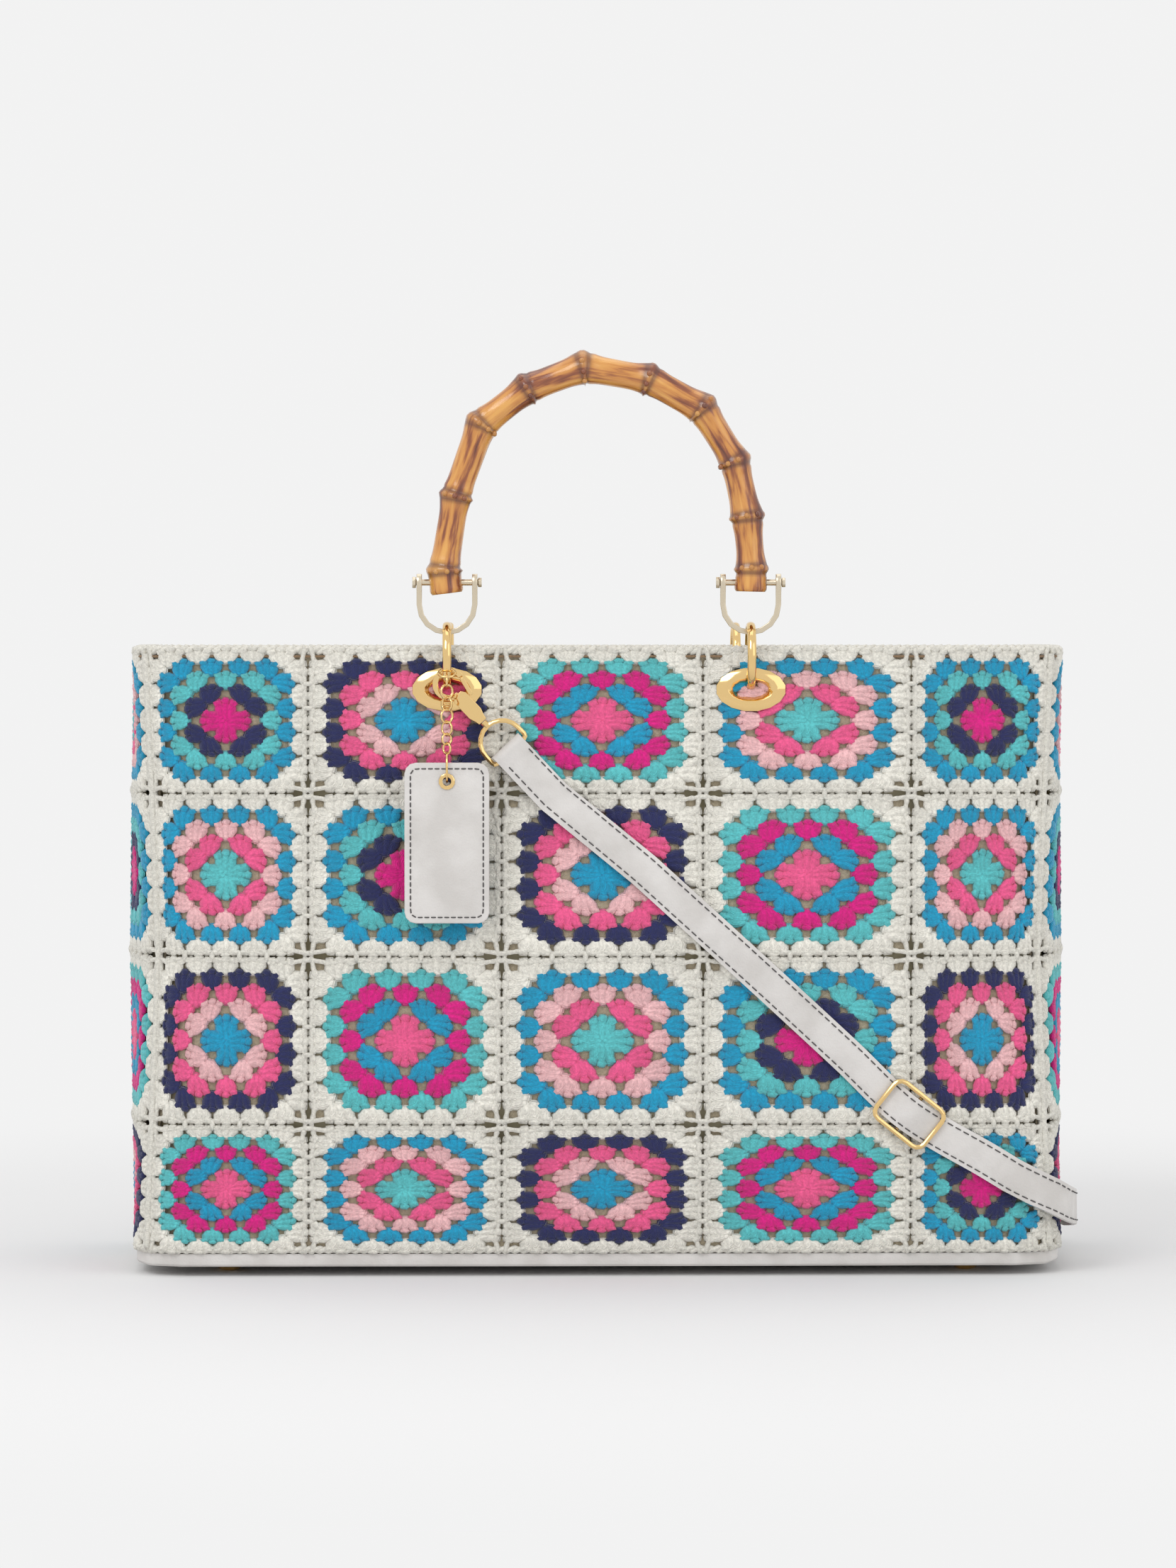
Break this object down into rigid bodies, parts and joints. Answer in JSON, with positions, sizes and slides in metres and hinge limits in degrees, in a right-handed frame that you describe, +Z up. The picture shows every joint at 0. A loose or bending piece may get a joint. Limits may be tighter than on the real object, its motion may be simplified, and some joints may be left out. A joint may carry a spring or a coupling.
{
  "type": "crochet bag",
  "caption": "Crochet tote bag of joined granny squares with bamboo arch handles on gold rings, a flat shoulder strap with slider and snap hook, and a hanging leather tag.",
  "frame": {"origin": "on the surface that the feet stand on, under the middle of the whole model's bounding box", "axes": "+X along the bag's width, to the right as seen from the front; +Y towards the rear; +Z up"},
  "size_m": [0.4333, 0.2175, 0.4171],
  "materials": {
    "yarn": "matte crocheted cotton yarn in white, blues, pinks and navy",
    "lining_cloth": "matte cream cotton",
    "white_leather": "satin grained white leather, stitched along its edges",
    "gold": "polished gold plating",
    "champagne": "satin pale gold plating",
    "bamboo": "varnished bamboo with burnt streaks and dark nodes"
  },
  "bodies": {
    "bag": {"crochet_cover": "yarn", "lining": "lining_cloth", "base_panel": "white_leather", "foot_1": "gold", "foot_2": "gold", "foot_3": "gold", "foot_4": "gold", "eyelet_front_left": "gold", "eyelet_front_right": "gold", "eyelet_rear_left": "gold", "eyelet_rear_right": "gold", "ring_front_left": "gold", "ring_front_right": "gold", "ring_rear_left": "gold", "ring_rear_right": "gold", "snap_hook": "gold", "swivel_ring": "gold", "rear_clasp": "gold", "shoulder_strap": "white_leather", "slider_buckle": "gold", "tag": "white_leather", "tag_grommet": "gold", "tag_chain": "gold"},
    "front_shackles": {"shackle_front_left": "champagne", "shackle_front_right": "champagne", "pin_front_left": "champagne", "pin_front_right": "champagne"},
    "front_handle": {"handle_front": "bamboo"},
    "rear_shackles": {"shackle_rear_left": "champagne", "shackle_rear_right": "champagne", "pin_rear_left": "champagne", "pin_rear_right": "champagne"},
    "rear_handle": {"handle_rear": "bamboo"},
    "gate": {"hook_gate": "gold"}
  },
  "joints": [
    {"name": "front_shackle_swing", "type": "hinge", "parent": "bag", "child": "front_shackles", "pos_m": [-0.002, -0.08823, 0.28], "axis": [1, 0, 0], "range_deg": [-50, 50]},
    {"name": "front_handle_swing", "type": "hinge", "parent": "front_shackles", "child": "front_handle", "pos_m": [-0.002, -0.08823, 0.3132], "axis": [1, 0, 0], "range_deg": [-100, 100]},
    {"name": "rear_shackle_swing", "type": "hinge", "parent": "bag", "child": "rear_shackles", "pos_m": [-0.002, 0.06823, 0.28], "axis": [1, 0, 0], "range_deg": [0, 141]},
    {"name": "rear_handle_swing", "type": "hinge", "parent": "rear_shackles", "child": "rear_handle", "pos_m": [-0.002, 0.10082, 0.27367], "axis": [1, 0, 0], "range_deg": [-4, 179]},
    {"name": "gate_press", "type": "hinge", "parent": "bag", "child": "gate", "pos_m": [-0.06001, -0.09643, 0.26375], "axis": [0, 1, 0], "range_deg": [-18, 0], "stiffness_Nm_per_rad": 0.02, "springref_deg": 11.46}
  ]
}
